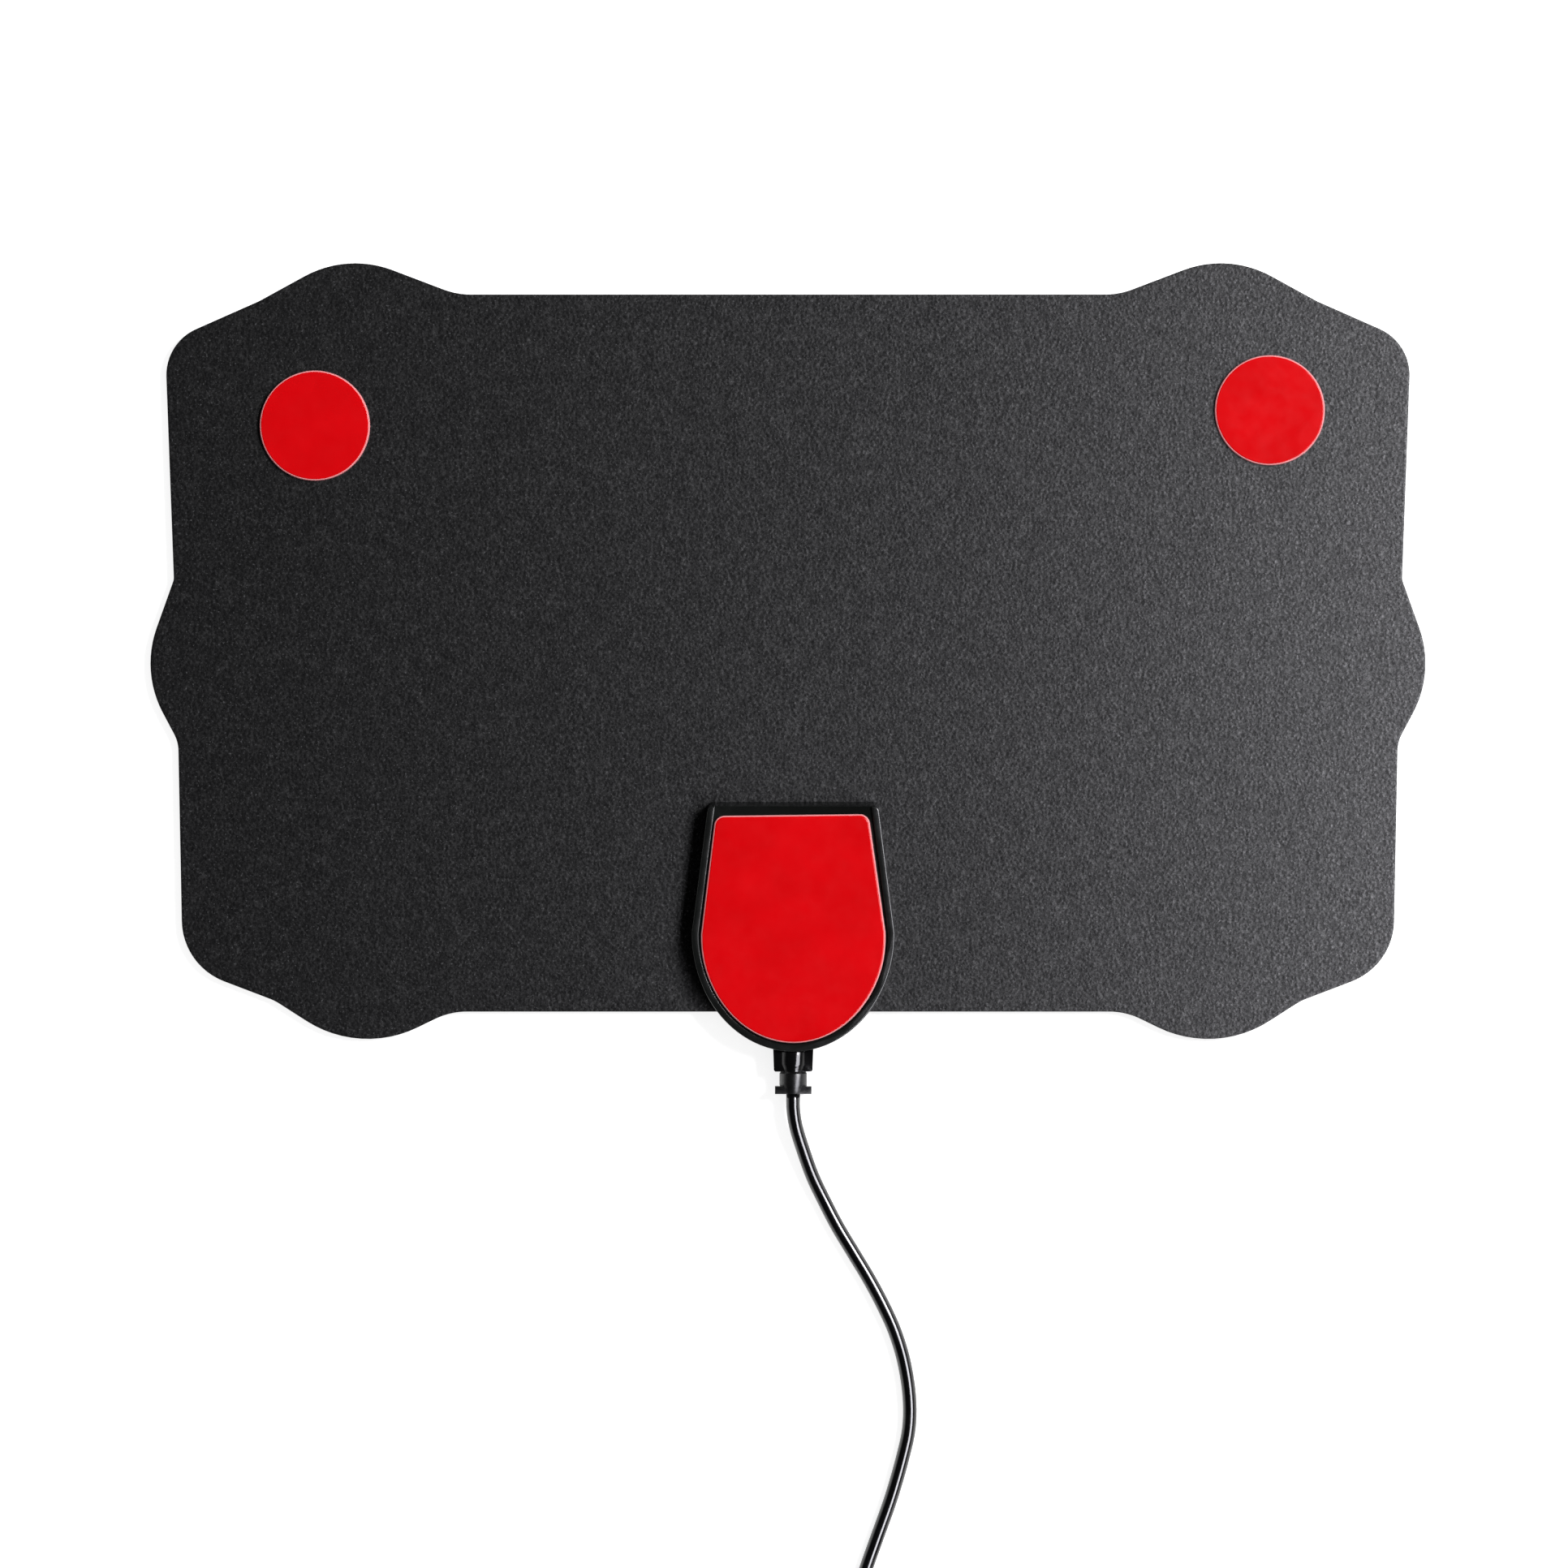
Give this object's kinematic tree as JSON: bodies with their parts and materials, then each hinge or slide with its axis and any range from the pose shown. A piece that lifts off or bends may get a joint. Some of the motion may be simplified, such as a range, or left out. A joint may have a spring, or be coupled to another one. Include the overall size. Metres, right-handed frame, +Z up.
{
  "type": "indoor tv antenna",
  "caption": "Flat indoor TV antenna: leather-grained sheet with a scalloped outline, adhesive pads, a shield-shaped rear housing and a coiled coaxial cable with a push-on plug.",
  "frame": {"origin": "on the supporting surface under the middle of the antenna's own box, cable apart", "axes": "+X along the sheet's long side, +Y towards its top edge, +Z up out of the back with the adhesive pads"},
  "size_m": [0.2906, 0.3668, 0.0135],
  "materials": {
    "front_sheet": "smooth satin black film",
    "grained_sheet": "satin black film with a fine leather grain",
    "foil": "rolled foil",
    "housing": "finely textured black moulding",
    "steel": "zinc-plated",
    "board": "green solder mask",
    "chips": "matt ceramic",
    "ferrite": "sintered grey",
    "copper": "enamelled copper",
    "brass": "stamped",
    "solder": "bright solder",
    "cable_jacket": "glossy black jacket",
    "braid": "tinned braid",
    "insulation": "natural white",
    "relief": "glossy black moulding",
    "foam_tape": "pale closed-cell foam",
    "red_film": "glossy red release film",
    "tie": "flat nylon band",
    "plug_grip": "moulded black grip",
    "plug_metal": "nickel-plated"
  },
  "bodies": {
    "root": {"front_film": "front_sheet", "back_film": "grained_sheet", "left_foil": "foil", "right_foil": "foil", "front_cover": "housing", "back_cover": "housing", "cover_screws": "steel", "circuit_board": "board", "chip_parts": "chips", "balun_core": "ferrite", "balun_winding": "copper", "contact_rivets": "brass", "contact_washers": "brass", "solder_joints": "solder", "cable_tail": "cable_jacket", "cable_braid": "braid", "cable_insulation": "insulation", "cable_conductor": "copper", "strain_relief": "relief", "left_pad_tape": "foam_tape", "left_pad_liner": "red_film", "right_pad_tape": "foam_tape", "right_pad_liner": "red_film", "housing_pad_tape": "foam_tape", "housing_pad_liner": "red_film", "cable_run": "cable_jacket", "cable_coil": "cable_jacket", "cable_end": "cable_jacket", "cable_tie": "tie", "plug_grip": "plug_grip", "plug_barrel": "plug_metal", "plug_insulator": "insulation", "plug_pin": "plug_metal"}
  },
  "joints": []
}
